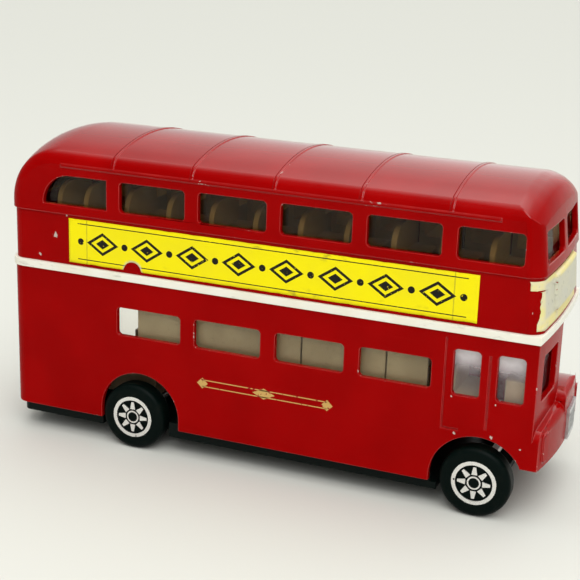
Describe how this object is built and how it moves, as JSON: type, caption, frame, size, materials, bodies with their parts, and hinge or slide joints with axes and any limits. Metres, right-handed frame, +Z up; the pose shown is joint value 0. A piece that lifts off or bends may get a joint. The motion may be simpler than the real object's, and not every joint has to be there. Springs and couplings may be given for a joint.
{
  "type": "toy double-deck bus",
  "caption": "Toy double-deck bus with a half cab and bonnet, glazed decks, an open rear platform with a pole, and free-running wheelsets on axles under a flat base.",
  "frame": {"origin": "on the floor under the centre of the bus, halfway along its length and its width", "axes": "+X towards the front, +Y towards the nearside with the open platform, +Z up"},
  "size_m": [0.128, 0.0384, 0.0693],
  "materials": {
    "red_enamel": "gloss enamel on a zinc casting, chipped on the edges",
    "white_plastic": "satin off-white moulding",
    "cream_plastic": "matt cream moulding",
    "clear_plastic": "clear moulded glazing",
    "black_plastic": "satin black moulding",
    "steel": "plain steel",
    "wheel_black": "glossy black with bright foil on the raised hub",
    "label_paper": "yellow paper label, coated",
    "label_cream": "aged paper label",
    "bright_metal": "bright vacuum-plated plastic"
  },
  "bodies": {
    "bus": {"upper_body": "red_enamel", "lower_body": "red_enamel", "upper_deck": "white_plastic", "lower_deck": "cream_plastic", "upper_glazing": "clear_plastic", "lower_glazing": "clear_plastic", "cab_glazing": "clear_plastic", "base_plate": "black_plastic", "base_rivets": "steel", "offside_label": "label_paper", "nearside_label": "label_paper", "front_label": "label_cream", "radiator_grille": "bright_metal", "steering_wheel": "black_plastic"},
    "front_wheelset": {"front_axle": "steel", "wheel_front_offside": "wheel_black", "wheel_front_nearside": "wheel_black"},
    "rear_wheelset": {"rear_axle": "steel", "wheel_rear_offside": "wheel_black", "wheel_rear_nearside": "wheel_black"}
  },
  "joints": [
    {"name": "front_wheels_spin", "type": "hinge", "parent": "bus", "child": "front_wheelset", "pos_m": [0.049, 0, 0.0076], "axis": [0, 1, 0], "continuous": true},
    {"name": "rear_wheels_spin", "type": "hinge", "parent": "bus", "child": "rear_wheelset", "pos_m": [-0.03, 0, 0.0076], "axis": [0, 1, 0], "continuous": true}
  ]
}
